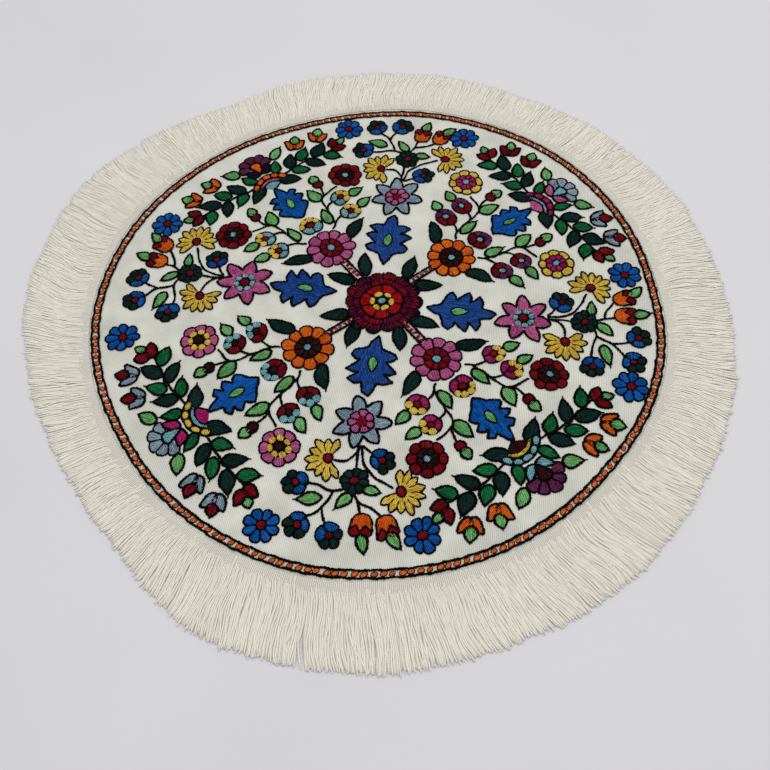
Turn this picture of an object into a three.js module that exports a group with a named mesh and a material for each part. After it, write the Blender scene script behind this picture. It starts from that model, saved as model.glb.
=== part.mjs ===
// A round embroidered tablecloth with a sewn-on fringe, lying flat on a surface.
// Millimetres, +Z up, +Y away from the viewer. The origin is on the surface, under the middle
// of the circle that the stitched border follows.
import * as THREE from "three";

// Driving sizes
const borderRadius = 200; // middle value of the border's outer black line
const hemMargin = 6.5; // plain cloth from that line out to the cut edge
const clothThickness = 1.8; // twill with the wool stitched through it
const seamGap = 0.35; // cloth edge to fringe heading
const headingWidth = 5; // woven strip that holds the fringe
const headingHeight = 2.2;
const lockTipHeight = 1.6;
const lockGap = 0.5; // between neighbouring locks at the heading
const tipGap = 1.1; // between neighbouring locks at their tips
const trimUnevenness = 1.4; // how far single locks stand out of the trimmed line

// Subdivision
const clothSectors = 96;
const clothRings = [0.09, 0.2, 0.32, 0.44, 0.56, 0.68, 0.79, 0.9, 1];
const lockCount = 288;
const lockSteps = 3;

// The hand-drawn outline, read every 15 degrees counterclockwise from +X.
// border: how far the stitched line strays from its circle, tip: reach of the fringe from the origin,
// lean: how far the fringe swings counterclockwise from its root to its tip.
const outline = [
  { angle: 0, border: -1.5, tip: 245, lean: 2 },
  { angle: 15, border: -0.5, tip: 248, lean: 5 },
  { angle: 30, border: 1.5, tip: 248, lean: 1 },
  { angle: 45, border: 2.5, tip: 248, lean: -1 },
  { angle: 60, border: 2, tip: 246, lean: -3 },
  { angle: 75, border: 1.5, tip: 249, lean: -6 },
  { angle: 90, border: -1, tip: 248, lean: -9 },
  { angle: 105, border: -2.5, tip: 249, lean: -9 },
  { angle: 120, border: -1.5, tip: 246, lean: -8 },
  { angle: 135, border: 0, tip: 256, lean: -7 },
  { angle: 150, border: 2, tip: 263, lean: -9 },
  { angle: 165, border: 2, tip: 258, lean: -13 },
  { angle: 180, border: 1.5, tip: 252, lean: -14 },
  { angle: 195, border: -0.5, tip: 241, lean: -9 },
  { angle: 210, border: -2, tip: 235, lean: -3 },
  { angle: 225, border: -1, tip: 236, lean: -2 },
  { angle: 240, border: 0.5, tip: 250, lean: 5 },
  { angle: 255, border: 1.5, tip: 252, lean: 6 },
  { angle: 270, border: 0.5, tip: 252, lean: 7 },
  { angle: 285, border: 0.5, tip: 249, lean: 8 },
  { angle: 300, border: -0.5, tip: 250, lean: 9 },
  { angle: 315, border: -1.5, tip: 247, lean: 2 },
  { angle: 330, border: 0, tip: 246, lean: -3 },
  { angle: 345, border: 0.5, tip: 246, lean: 2 },
];

// Where the fringe has parted: opening between the two tips, where it closes, and how wide
// a stretch of fringe either side is pushed together by it.
const partings = [
  { angle: 35, opening: 9, closesAt: 234, spread: 12 },
  { angle: 97.5, opening: 4, closesAt: 226, spread: 8 },
  { angle: 138.75, opening: 4, closesAt: 240, spread: 6 },
  { angle: 202.5, opening: 3, closesAt: 218, spread: 8 },
  { angle: 256.25, opening: 8, closesAt: 228, spread: 10 },
];

// Soft swells of the ground between the closely stitched motif groups, which hold it down:
// from and to along the radius, height and half width in millimetres.
const swells = [
  { angle: 11, from: 45, to: 170, height: 1.3, halfWidth: 11 },
  { angle: 55, from: 60, to: 175, height: 1.6, halfWidth: 12 },
  { angle: 101, from: 60, to: 160, height: 0.9, halfWidth: 11 },
  { angle: 146, from: 70, to: 175, height: 1.1, halfWidth: 12 },
  { angle: 189, from: 45, to: 185, height: 1.6, halfWidth: 12 },
  { angle: 236, from: 50, to: 165, height: 1.2, halfWidth: 11 },
  { angle: 281, from: 60, to: 170, height: 1, halfWidth: 12 },
  { angle: 325, from: 70, to: 180, height: 1.4, halfWidth: 12 },
];
const swellFade = 32;

const turn = Math.PI * 2;
const radians = THREE.MathUtils.degToRad;
const smooth = THREE.MathUtils.smoothstep;

// Smooth closed curve through one column of the outline table (Catmull-Rom).
function outlineAt(column, degrees) {
  const place = (((degrees % 360) + 360) % 360) / (360 / outline.length);
  const row = Math.floor(place);
  const t = place - row;
  const value = (step) => outline[(row + step + outline.length) % outline.length][column];
  const [a, b, c, d] = [-1, 0, 1, 2].map(value);
  return b + 0.5 * t * (c - a + t * (2 * a - 5 * b + 4 * c - d + t * (3 * (b - c) + d - a)));
}

// Cut edge of the cloth, measured from the origin.
function clothEdge(degrees) {
  return borderRadius + hemMargin + outlineAt("border", degrees);
}

// Height of the swells at a point: a soft bell across each radial line, fading at both its ends.
function swellHeight(radius, degrees) {
  return swells.reduce((height, swell) => {
    const away = radians(degrees - swell.angle);
    const across = (radius * Math.sin(away)) / swell.halfWidth;
    const along = radius * Math.cos(away);
    const fade = smooth(along, swell.from, swell.from + swellFade)
      * (1 - smooth(along, swell.to - swellFade, swell.to));
    return height + swell.height * fade * Math.exp(-across * across);
  }, 0);
}

// A closed mesh that is written face by face from shared vertices.
class ClosedMesh {
  positions = [];
  indices = [];

  vertex(x, y, z) {
    this.positions.push(x, y, z);
    return this.positions.length / 3 - 1;
  }

  polar(radius, degrees, z) {
    const angle = radians(degrees);
    return this.vertex(radius * Math.cos(angle), radius * Math.sin(angle), z);
  }

  triangle(a, b, c) {
    this.indices.push(a, b, c);
  }

  quad(a, b, c, d) {
    this.triangle(a, b, c);
    this.triangle(a, c, d);
  }

  geometry() {
    const geometry = new THREE.BufferGeometry();
    geometry.setAttribute("position", new THREE.Float32BufferAttribute(this.positions, 3));
    geometry.setIndex(this.indices);
    geometry.computeVertexNormals();
    return geometry;
  }
}

// The cloth: a polar sheet of even thickness that follows the swells, flat in the middle and at its edge.
function clothGeometry() {
  const mesh = new ClosedMesh();
  const face = (lift) => ({
    middle: mesh.vertex(0, 0, lift),
    rings: clothRings.map((share) => Array.from({ length: clothSectors }, (unused, sector) => {
      const degrees = (sector * 360) / clothSectors;
      const radius = share * clothEdge(degrees);
      return mesh.polar(radius, degrees, lift + swellHeight(radius, degrees));
    })),
  });
  const under = face(0);
  const upper = face(clothThickness);
  for (let sector = 0; sector < clothSectors; sector += 1) {
    const next = (sector + 1) % clothSectors;
    mesh.triangle(upper.middle, upper.rings[0][sector], upper.rings[0][next]);
    mesh.triangle(under.middle, under.rings[0][next], under.rings[0][sector]);
    for (let ring = 1; ring < clothRings.length; ring += 1) {
      const [u, v] = [upper.rings[ring - 1], upper.rings[ring]];
      const [p, q] = [under.rings[ring - 1], under.rings[ring]];
      mesh.quad(u[sector], v[sector], v[next], u[next]);
      mesh.quad(p[next], q[next], q[sector], p[sector]);
    }
    const [low, high] = [under.rings.at(-1), upper.rings.at(-1)];
    mesh.quad(low[sector], low[next], high[next], high[sector]);
  }
  return mesh.geometry();
}

// Where a line of the fringe that leaves the heading at an angle has swung to at a radius, in degrees.
function swungAngle(degrees, radius, root) {
  const reach = Math.max(0, radius - root);
  const full = outlineAt("tip", degrees) - root;
  let shift = outlineAt("lean", degrees) * (reach / full) ** 1.4;
  for (const parting of partings) {
    const away = (degrees - parting.angle) * radians(radius);
    const opened = Math.max(0, radius - parting.closesAt) / (outlineAt("tip", degrees) - parting.closesAt);
    shift += Math.sign(away) * 0.5 * parting.opening * opened * Math.exp(-Math.abs(away) / parting.spread);
  }
  return degrees + (shift / radius) * (360 / turn);
}

// The fringe: a heading strip around the cloth, and flat four-sided locks that run out from its outer
// wall, level on the surface. Each lock fills its share of the circle between two swung lines.
function fringeGeometry() {
  const mesh = new ClosedMesh();
  const pitch = 360 / lockCount;
  const sections = [];
  for (let lock = 0; lock < lockCount; lock += 1) {
    const from = lock * pitch;
    const middle = from + pitch / 2;
    const inner = clothEdge(from) + seamGap;
    const root = clothEdge(middle) + seamGap + headingWidth;
    const uneven = trimUnevenness * (0.6 * Math.sin(lock * 2.4) + 0.4 * Math.sin(lock * 5.3));
    const tip = outlineAt("tip", middle) + uneven;
    const lockSections = [];
    for (let step = 0; step <= lockSteps; step += 1) {
      const share = step / lockSteps;
      const radius = THREE.MathUtils.lerp(root, tip, share);
      const height = THREE.MathUtils.lerp(headingHeight, lockTipHeight, share);
      const halfGap = THREE.MathUtils.lerp(lockGap, tipGap, share) / 2 / radians(radius);
      const start = swungAngle(from + 1e-4, radius, root) + halfGap;
      const end = swungAngle(from + pitch - 1e-4, radius, root) - halfGap;
      lockSections.push({
        lowStart: mesh.polar(radius, start, 0),
        lowEnd: mesh.polar(radius, end, 0),
        highEnd: mesh.polar(radius, end, height),
        highStart: mesh.polar(radius, start, height),
      });
    }
    sections.push({
      lowInner: mesh.polar(inner, from, 0),
      highInner: mesh.polar(inner, from, headingHeight),
      lockSections,
    });
  }
  sections.forEach((sector, lock) => {
    const next = sections[(lock + 1) % lockCount];
    const root = sector.lockSections[0];
    const nextRoot = next.lockSections[0];
    // Heading: upper face, underside, inner wall, and the outer wall left between two locks.
    mesh.quad(sector.highInner, root.highStart, root.highEnd, next.highInner);
    mesh.triangle(next.highInner, root.highEnd, nextRoot.highStart);
    mesh.quad(next.lowInner, root.lowEnd, root.lowStart, sector.lowInner);
    mesh.triangle(nextRoot.lowStart, root.lowEnd, next.lowInner);
    mesh.quad(next.lowInner, sector.lowInner, sector.highInner, next.highInner);
    mesh.quad(root.lowEnd, nextRoot.lowStart, nextRoot.highStart, root.highEnd);
    // Lock: upper face, underside, two sides for each step, then the cut end.
    for (let step = 1; step <= lockSteps; step += 1) {
      const [a, b] = [sector.lockSections[step - 1], sector.lockSections[step]];
      mesh.quad(a.highStart, b.highStart, b.highEnd, a.highEnd);
      mesh.quad(a.lowEnd, b.lowEnd, b.lowStart, a.lowStart);
      mesh.quad(a.lowStart, b.lowStart, b.highStart, a.highStart);
      mesh.quad(b.lowEnd, a.lowEnd, a.highEnd, b.highEnd);
    }
    const end = sector.lockSections[lockSteps];
    mesh.quad(end.lowStart, end.lowEnd, end.highEnd, end.highStart);
  });
  return mesh.geometry();
}

// One named piece of the tablecloth in its own matt textile colour.
function piece(name, geometry, color) {
  const mesh = new THREE.Mesh(geometry, new THREE.MeshStandardMaterial({ color, roughness: 0.95, metalness: 0 }));
  mesh.name = name;
  return mesh;
}

const tablecloth = new THREE.Group();
tablecloth.add(piece("cloth", clothGeometry(), 0xe4dfd4));
tablecloth.add(piece("fringe", fringeGeometry(), 0xe9e3d2));

export default tablecloth;
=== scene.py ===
# Round embroidered tablecloth: cream wool twill, crewel wool needlework, and a fringe on a woven heading.
# Sizes are in millimetres until a mesh is made. Points on the cloth are complex numbers, x + iy.
import math
import time

import bpy
import numpy as np
from mathutils import Matrix, Vector


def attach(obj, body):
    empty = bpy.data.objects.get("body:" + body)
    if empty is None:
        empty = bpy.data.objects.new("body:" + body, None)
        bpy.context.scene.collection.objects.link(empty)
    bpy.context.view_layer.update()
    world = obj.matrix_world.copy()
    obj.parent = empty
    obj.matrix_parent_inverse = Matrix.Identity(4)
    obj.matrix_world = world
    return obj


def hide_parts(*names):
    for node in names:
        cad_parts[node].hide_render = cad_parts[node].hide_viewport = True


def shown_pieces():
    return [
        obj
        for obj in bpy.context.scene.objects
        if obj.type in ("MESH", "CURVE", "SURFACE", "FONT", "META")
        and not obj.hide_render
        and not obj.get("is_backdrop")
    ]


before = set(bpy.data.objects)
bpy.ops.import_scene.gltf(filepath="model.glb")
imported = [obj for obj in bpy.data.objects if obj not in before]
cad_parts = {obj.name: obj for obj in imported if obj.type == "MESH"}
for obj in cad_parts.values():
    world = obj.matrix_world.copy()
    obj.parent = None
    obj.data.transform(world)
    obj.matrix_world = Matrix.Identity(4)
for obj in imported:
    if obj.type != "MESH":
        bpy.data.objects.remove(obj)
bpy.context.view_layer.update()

mm = 0.001
scene = bpy.context.scene
started = time.time()


def report(text):
    print(f"{time.time() - started:5.1f} s  {text}")


# The camera stands at the photograph's angle and distance.
view = {
    "imageSize": 770,
    "focalPixels": 796.14,
    "sensor": 36.0,
    "clipStart": 0.01,  # in metres
    "distance": 567.1,  # from the origin to the lens
    "elevation": 52.768,
    "roll": 3.415,
    "originPixel": (376.34, 301.78),
    "clothLift": 1.4,  # the embroidered face is this far above the table
}


def makeCamera():
    # Looks at the origin from its elevation, is rolled, then turned until the origin lands on its pixel.
    elevation = math.radians(view["elevation"])
    back = Vector((0, -math.cos(elevation), math.sin(elevation)))
    right = Vector((1, 0, 0))
    looking = Matrix((right, back.cross(right), back))
    roll = Matrix.Rotation(math.radians(view["roll"]), 3, "Z")
    half = view["imageSize"] / 2
    pixelX, pixelY = view["originPixel"]
    toOrigin = Vector((pixelX - half, half - pixelY, -view["focalPixels"]))
    aim = Vector((0, 0, -1)).rotation_difference(toOrigin).to_matrix()
    data = bpy.data.cameras.new("camera")
    data.sensor_width = view["sensor"]
    data.lens = view["focalPixels"] * view["sensor"] / view["imageSize"]
    data.clip_start = view["clipStart"]
    camera = bpy.data.objects.new("camera", data)
    camera.matrix_world = (aim @ roll @ looking).transposed().to_4x4()
    camera.location = back * view["distance"] * mm + Vector((0, 0, view["clothLift"] * mm))
    scene.collection.objects.link(camera)
    scene.camera = camera


makeCamera()

# Outline and ground of the cloth, from the same values as the CAD part.
cloth = {
    "borderRadius": 200.0,
    "hemMargin": 6.5,  # from the border's outer line to the cut edge
    "thickness": 1.25,
    "sectors": 288,
    "rings": 46,
    "crowding": 0.9,  # under 1 puts the rings closer together towards the edge
    "edgeRounding": (0.35, 0.25),  # how far the upper and the lower face draw in at the edge
    "swellFade": 32.0,
    "pucker": 0.16,  # how far the stitching draws the ground up and down
    "puckerFade": 12.0,  # the edge lies flat over this distance
    "shades": ("#a3a49a", "#dbdbd3"),
}

# The hand-drawn outline every 15 degrees counterclockwise from +X. border: how far the circle that it is
# cut by strays. tip: reach of the fringe. lean: its swing from root to tip. line: the stitched line's own
# straying from the border.
outline = {
    "border": (
        -1.5, -0.5, 1.5, 2.5, 2, 1.5, -1, -2.5, -1.5, 0, 2, 2,
        1.5, -0.5, -2, -1, 0.5, 1.5, 0.5, 0.5, -0.5, -1.5, 0, 0.5,
    ),
    "tip": (
        245, 248, 248, 248, 246, 249, 248, 249, 246, 256, 263, 258,
        252, 241, 235, 236, 250, 252, 252, 249, 250, 247, 246, 246,
    ),
    "lean": (
        2, 5, 1, -1, -3, -6, -9, -9, -8, -7, -9, -13,
        -14, -9, -3, -2, 5, 6, 7, 8, 9, 2, -3, 2,
    ),
    "line": (
        0.1, 0.6, 0.3, 0.2, -0.5, -1, -1.2, -1.2, -0.8, -0.6, -0.6, -0.4,
        0, -0.2, -0.4, 0, -0.1, 0, 0.2, 0.1, 0.2, 0.2, 0.2, 0,
    ),
}

# Soft swells of the ground between the motif groups: angle, from, to, height, half width.
swells = [
    (11, 45, 170, 1.3, 11), (55, 60, 175, 1.6, 12), (101, 60, 160, 0.9, 11), (146, 70, 175, 1.1, 12),
    (189, 45, 185, 1.6, 12), (236, 50, 165, 1.2, 11), (281, 60, 170, 1.0, 12), (325, 70, 180, 1.4, 12),
]


def smoothStep(value, low, high):
    share = np.clip((value - low) / (high - low), 0, 1)
    return share * share * (3 - 2 * share)


def curveBetween(a, b, c, d, t):
    # Catmull-Rom curve from b to c as t goes from 0 to 1. a comes before b, and d after c.
    return b + 0.5 * t * (c - a + t * (2 * a - 5 * b + 4 * c - d + t * (3 * (b - c) + d - a)))


def outlineAt(column, degrees):
    # Smooth closed curve through one column of the outline.
    values = np.array(outline[column], float)
    place = np.mod(degrees, 360) * len(values) / 360
    row = np.floor(place).astype(int)
    return curveBetween(*(values[(row + step) % len(values)] for step in (-1, 0, 1, 2)), place - row)


def borderAt(degrees):
    return cloth["borderRadius"] + outlineAt("border", degrees)


def lineAt(degrees):
    return borderAt(degrees) + outlineAt("line", degrees)


def swellAt(points):
    # Sum of soft bells, each e^(-across^2) along a radial line and fading at both its ends.
    height = np.zeros(points.shape)
    for angle, start, end, tall, halfWidth in swells:
        turned = points * np.exp(-1j * math.radians(angle))
        along = turned.real
        across = turned.imag / halfWidth
        fade = smoothStep(along, start, start + cloth["swellFade"])
        fade = fade * (1 - smoothStep(along, end - cloth["swellFade"], end))
        height += tall * fade * np.exp(-across * across)
    return height


def groundAt(points):
    # Upper face of the cloth: thickness + swells + puckers, three crossing waves that die out at the edge.
    x, y = points.real, points.imag
    waves = np.sin(x / 2.9 + 1.3 * np.sin(y / 7.1)) + np.sin(y / 3.7 + 1.1 * np.sin(x / 6.3) + 2)
    waves = waves + np.sin((x + y) / 4.9 + 0.8)
    edge = cloth["borderRadius"] + cloth["hemMargin"]
    calm = 1 - smoothStep(np.abs(points), edge - 2 * cloth["puckerFade"], edge - cloth["puckerFade"])
    return cloth["thickness"] + swellAt(points) + cloth["pucker"] * calm * waves / 3


def towards(degrees):
    return np.exp(1j * np.radians(degrees))


def unit(values):
    return values / np.maximum(np.abs(values), 1e-9)


def beside(*parts):
    # Arrays stretched to one shape and set side by side on a new last axis.
    return np.stack(np.broadcast_arrays(*parts), axis=-1)


def addPiece(name, finish, points, corners, sizes, uv=None, tone=None):
    # finish: material and slot; the slot is not used. points: in millimetres. corners: the vertex at each
    # face
    # corner. sizes: how many corners each face has. tone: a value for each vertex, which the material reads.
    material, slot = finish
    mesh = bpy.data.meshes.new(name)
    mesh.vertices.add(len(points))
    mesh.vertices.foreach_set("co", np.ascontiguousarray(points * mm, dtype=np.float32).ravel())
    mesh.loops.add(len(corners))
    mesh.loops.foreach_set("vertex_index", np.ascontiguousarray(corners, dtype=np.int32))
    mesh.polygons.add(len(sizes))
    starts = np.concatenate([[0], np.cumsum(sizes)[:-1]]).astype(np.int32)
    mesh.polygons.foreach_set("loop_start", starts)
    mesh.update(calc_edges=True)
    if uv is not None:
        layer = mesh.uv_layers.new(name="yarn")
        layer.data.foreach_set("uv", np.ascontiguousarray(uv, dtype=np.float32).ravel())
    if tone is not None:
        attribute = mesh.attributes.new("tone", "FLOAT", "POINT")
        attribute.data.foreach_set("value", np.ascontiguousarray(tone, dtype=np.float32).ravel())
    mesh.shade_smooth()
    mesh.materials.append(material)
    piece = bpy.data.objects.new(name, mesh)
    scene.collection.objects.link(piece)
    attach(piece, "root")
    return piece


def addYarns(name, finish, tone, path, height, wide, tall, tip=None, sides=3, turn=0.5):
    # Yarns with a ring of corners at every station: path + side * wide * cos a, height + tall * sin a. tip:
    # how far the point at each end lies on and down. Without it each yarn closes to a loop. path and height
    # are (yarns, stations). The first corner lies at turn half circles: 0.5 puts a ridge on top, -0.5 a
    # flat. The UV map runs in millimetres along the yarn and from 0 to 1 around it.
    count, stations = path.shape
    closed = tip is None
    wide, tall, tone = (np.broadcast_to(values, path.shape) for values in (wide, tall, tone))
    if closed:
        tangent = unit(np.roll(path, -1, axis=1) - np.roll(path, 1, axis=1))
        step = np.abs(np.roll(path, -1, axis=1) - path)
    else:
        tangent = unit(np.gradient(path, axis=1))
        step = np.abs(np.diff(path, axis=1))
    run = np.concatenate([np.zeros((count, 1)), np.cumsum(step, axis=1)], axis=1)
    angle = math.pi * turn + 2 * math.pi * np.arange(sides) / sides
    ring = path[..., None] + (1j * tangent * wide)[..., None] * np.cos(angle)
    level = height[..., None] + tall[..., None] * np.sin(angle)
    points = beside(ring.real, ring.imag, level).reshape(count, -1, 3)
    tone = np.repeat(tone, sides, axis=1)
    near = np.arange(sides)
    far = (near + 1) % sides
    left, right = near / sides, (near + 1) / sides
    first = np.arange(count)[:, None] * (stations * sides + (0 if closed else 2))
    station = np.arange(step.shape[1])[:, None]
    here = first[:, None] + station * sides
    ahead = first[:, None] + (station + 1) % stations * sides
    low, high = run[:, :-1, None], run[:, 1:, None]
    corners = [beside(here + near, here + far, ahead + far, ahead + near).ravel()]
    uv = [beside(low, left, low, right, high, right, high, left).ravel()]
    sizes = [np.full(len(corners[0]) // 4, 4)]
    if not closed:
        length, drop = tip
        ends = path[:, [0, -1]] + tangent[:, [0, -1]] * np.array([-length, length])
        points = np.concatenate([points, beside(ends.real, ends.imag, height[:, [0, -1]] - drop)], axis=1)
        tone = np.concatenate([tone, tone[:, [0, -1]]], axis=1)
        last = first + (stations - 1) * sides
        point = last + sides
        end = run[:, -1:]
        corners += [beside(point, first + far, first + near).ravel(),
                    beside(point + 1, last + near, last + far).ravel()]
        uv += [beside(0 * end - length, left, 0, right, 0, left).ravel(),
               beside(end + length, left, end, left, end, right).ravel()]
        sizes += [np.full(count * sides * 2, 3)]
    return addPiece(name, finish, points.reshape(-1, 3), np.concatenate(corners), np.concatenate(sizes),
                    np.concatenate(uv), tone)


def fromHex(shade):
    # sRGB hex to the linear colour that a socket holds.
    values = [int(shade[i:i + 2], 16) / 255 for i in (1, 3, 5)]
    linear = [v / 12.92 if v <= 0.04045 else ((v + 0.055) / 1.055) ** 2.4 for v in values]
    return (*linear, 1.0)


def addNode(tree, kind, inputs=None, output=0, **settings):
    # A node with its settings, and with its inputs set or linked. Gives back one of its outputs.
    node = tree.nodes.new(kind)
    for name, value in settings.items():
        setattr(node, name, value)
    for key, value in (inputs or {}).items():
        if isinstance(value, bpy.types.NodeSocket):
            tree.links.new(value, node.inputs[key])
        else:
            node.inputs[key].default_value = value
    return node.outputs[output] if len(node.outputs) else None


def startMaterial(name):
    material = bpy.data.materials.new(name)
    material.use_nodes = True
    material.node_tree.nodes.clear()
    return material, material.node_tree


# Yarns. pitch: one turn of a ply, in millimetres, as the depths are. groove: painted shade, how much darker
# it is between the plies. fuzz: how far fibres stand out. through: share of the light that comes through.
crewelYarn = {"pitch": 0.9, "plies": 2, "plyDepth": 0.12, "groove": 0.25, "fuzz": 0.12, "sheen": 0.01,
              "gloss": 0.01, "through": 0.0}
trimYarn = {"pitch": 1.5, "plies": 2, "plyDepth": 0.06, "groove": 0.05, "fuzz": 0.05, "sheen": 0.3,
            "gloss": 0.2, "through": 0.1}
fibreSize, dyeSize = 0.7, 9.0  # grain of the fibres, and of the slow change in a yarn's colour
# A straight Wave turns once over this much of its coordinates, and a diagonal one over twice as much.
waveTurn = 0.1 * math.pi


def yarnMaterial(name, shades, yarn):
    # Spun yarn, soft and matt with a fibre bloom at grazing angles. Each stitch has its own tone, a slow
    # cloud stands for handling and dye, and fibres mottle it. Bands that climb round the yarn make its twist,
    # with painted shade darkening the grooves between the plies. A share of the light comes through pale
    # yarn.
    material, tree = startMaterial(name)
    dark, light = (fromHex(shade) for shade in shades)
    tone = addNode(tree, "ShaderNodeAttribute", output="Fac", attribute_name="tone")
    place = addNode(tree, "ShaderNodeTexCoord", output="Object")
    cloud = addNode(tree, "ShaderNodeTexNoise", {"Vector": place, "Scale": 1 / (dyeSize * mm), "Detail": 2.0})
    fibre = addNode(tree, "ShaderNodeTexNoise", {
        "Vector": place, "Scale": 1 / (fibreSize * mm), "Detail": 3.0, "Roughness": 0.7})
    share = -0.8  # brings the middle of the sum halfway between dark and light
    for source, weight in ((cloud, 0.35), (tone, 0.7), (fibre, 1.6)):
        share = addNode(tree, "ShaderNodeMath", {0: source, 1: weight, 2: share}, operation="MULTIPLY_ADD")
    shade = addNode(tree, "ShaderNodeMix", {0: share, 6: dark, 7: light}, 2, data_type="RGBA")
    along = addNode(tree, "ShaderNodeUVMap", uv_map="yarn")
    climbing = addNode(tree, "ShaderNodeMapping", {
        "Vector": along, "Scale": (2 * waveTurn / yarn["pitch"], 2 * waveTurn * yarn["plies"], 0)})
    ply = addNode(tree, "ShaderNodeTexWave", {"Vector": climbing, "Scale": 1.0, "Distortion": 0.0}, "Fac",
                  wave_type="BANDS", bands_direction="DIAGONAL")
    # Painted shade: the colour is made darker in the grooves between the plies.
    grooveShade = addNode(tree, "ShaderNodeMapRange", {
        "Value": ply, "From Min": 0.0, "From Max": 0.6, "To Min": 1 - yarn["groove"], "To Max": 1.0})
    withGrooveShade = addNode(tree, "ShaderNodeMix", {0: 1.0, 6: shade, 7: grooveShade}, 2, data_type="RGBA",
                      blend_type="MULTIPLY")
    plyBump = addNode(tree, "ShaderNodeBump", {
        "Height": ply, "Strength": 0.5, "Distance": yarn["plyDepth"] * mm})
    fibreBump = addNode(tree, "ShaderNodeBump", {
        "Height": fibre, "Strength": 0.5, "Distance": yarn["fuzz"] * mm, "Normal": plyBump})
    shader = addNode(tree, "ShaderNodeBsdfPrincipled", {
        "Base Color": withGrooveShade, "Roughness": 0.85, "Specular IOR Level": yarn["gloss"],
        "Sheen Weight": yarn["sheen"], "Sheen Roughness": 0.5, "Normal": fibreBump})
    if yarn["through"]:
        glow = addNode(tree, "ShaderNodeBsdfTranslucent", {"Color": withGrooveShade})
        shader = addNode(tree, "ShaderNodeMixShader", {0: yarn["through"], 1: shader, 2: glow})
    addNode(tree, "ShaderNodeOutputMaterial", {"Surface": shader})
    return material


# Weaves. ribs, slants: pitch of the ribs and of the finer diagonals across them, in millimetres, as relief
# and felt are. waver: unevenness. cloudSize, clouding: size and share of the slow change of colour. On a
# strip the ribs follow its UV map.
twillWeave = {"ribs": 1.15, "waver": 1.6, "slants": 0.85, "slantWaver": 2.2, "slantAngle": 62,
              "relief": 0.16, "felt": 0.12, "cloudSize": 24, "clouding": 1.0, "strip": False}
headingWeave = {**twillWeave, "waver": 0.5, "relief": 0.5, "clouding": 0.2, "strip": True}


def wovenMaterial(name, shades, weave):
    # Woven wool or cotton: matt ribs with a finer diagonal, slightly felted so that the thread edges are
    # soft, in a cloudy cream, with painted shade making the colour darker between the threads.
    material, tree = startMaterial(name)
    dark, light = (fromHex(shade) for shade in shades)
    place = addNode(tree, "ShaderNodeTexCoord", output="Object")
    if weave["strip"]:
        flat = addNode(tree, "ShaderNodeUVMap", uv_map="yarn")
    else:
        flat = addNode(tree, "ShaderNodeMapping", {
            "Vector": place, "Rotation": (0, 0, math.radians(-pattern["turn"]))})
    slanted = addNode(tree, "ShaderNodeMapping", {
        "Vector": flat, "Rotation": (0, 0, math.radians(weave["slantAngle"]))})
    ribs, slants = (addNode(tree, "ShaderNodeTexWave", {
        "Vector": vector, "Scale": waveTurn / (pitch * mm), "Distortion": waver, "Detail": 2.0,
        "Detail Scale": 1.2}, "Fac", wave_type="BANDS", bands_direction="X")
        for vector, pitch, waver in ((flat, weave["ribs"], weave["waver"]),
                                     (slanted, weave["slants"], weave["slantWaver"])))
    felt = addNode(tree, "ShaderNodeTexNoise", {
        "Vector": place, "Scale": 1 / (fibreSize * mm), "Detail": 3.0, "Roughness": 0.65})
    cloud = addNode(tree, "ShaderNodeTexNoise", {
        "Vector": place, "Scale": 1 / (weave["cloudSize"] * mm), "Detail": 3.0})
    threads = addNode(tree, "ShaderNodeMath", {0: ribs, 1: 0.6}, operation="MULTIPLY")
    threads = addNode(tree, "ShaderNodeMath", {0: slants, 1: 0.4, 2: threads}, operation="MULTIPLY_ADD")
    clouded = addNode(tree, "ShaderNodeMath", {
        0: cloud, 1: weave["clouding"], 2: 0.5 * (1 - weave["clouding"])}, operation="MULTIPLY_ADD")
    # Painted shade: the threads' waves also darken the colour in the valleys between them.
    shadedThreadsAndCloud = addNode(tree, "ShaderNodeMath", {0: threads, 1: 0.8, 2: clouded}, operation="MULTIPLY_ADD")
    share = addNode(tree, "ShaderNodeMapRange", {"Value": shadedThreadsAndCloud, "From Min": 0.4, "From Max": 1.35})
    shade = addNode(tree, "ShaderNodeMix", {0: share, 6: dark, 7: light}, 2, data_type="RGBA")
    threadBump = addNode(tree, "ShaderNodeBump", {
        "Height": threads, "Strength": 0.55, "Distance": weave["relief"] * mm})
    feltBump = addNode(tree, "ShaderNodeBump", {
        "Height": felt, "Strength": 0.5, "Distance": weave["felt"] * mm, "Normal": threadBump})
    shader = addNode(tree, "ShaderNodeBsdfPrincipled", {
        "Base Color": shade, "Roughness": 0.9, "Specular IOR Level": 0.2, "Sheen Weight": 0.15,
        "Sheen Roughness": 0.5, "Normal": feltBump})
    addNode(tree, "ShaderNodeOutputMaterial", {"Surface": shader})
    return material


# Where the pattern lies on the cloth, and half the width of its black lines.
pattern = {
    "turn": -11.75,  # degrees, pattern to cloth
    "centre": 4.0 + 1.1j,
    "wobble": 0.35,  # unevenness of the hand-drawn lines
    "armShift": -1.0,  # of the arms from the medallion
    "stem": 0.88,
    "edge": 0.86,
    "petal": 0.64,
    "fine": 0.52,
    "valley": 0.34,
    "arm": 0.85,
}

hand = np.random.default_rng(5)
cells = []  # filled shapes: colour, outline, grain, padding, lift
lines = []  # stem-stitched black lines: path, half width, lift


def handWobble(points):
    # Slow drift of a hand-drawn line: two crossing waves each way.
    x, y = points.real, points.imag
    sideways = np.sin(y / 5.3 + 1.7 * np.sin(x / 11)) + 0.8 * np.sin((x + y) / 2.7)
    lengthways = np.sin(x / 4.7 + 1.3 * np.sin(y / 9) + 1) + 0.8 * np.sin((x - y) / 2.5)
    return pattern["wobble"] * (sideways + 1j * lengthways)


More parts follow.
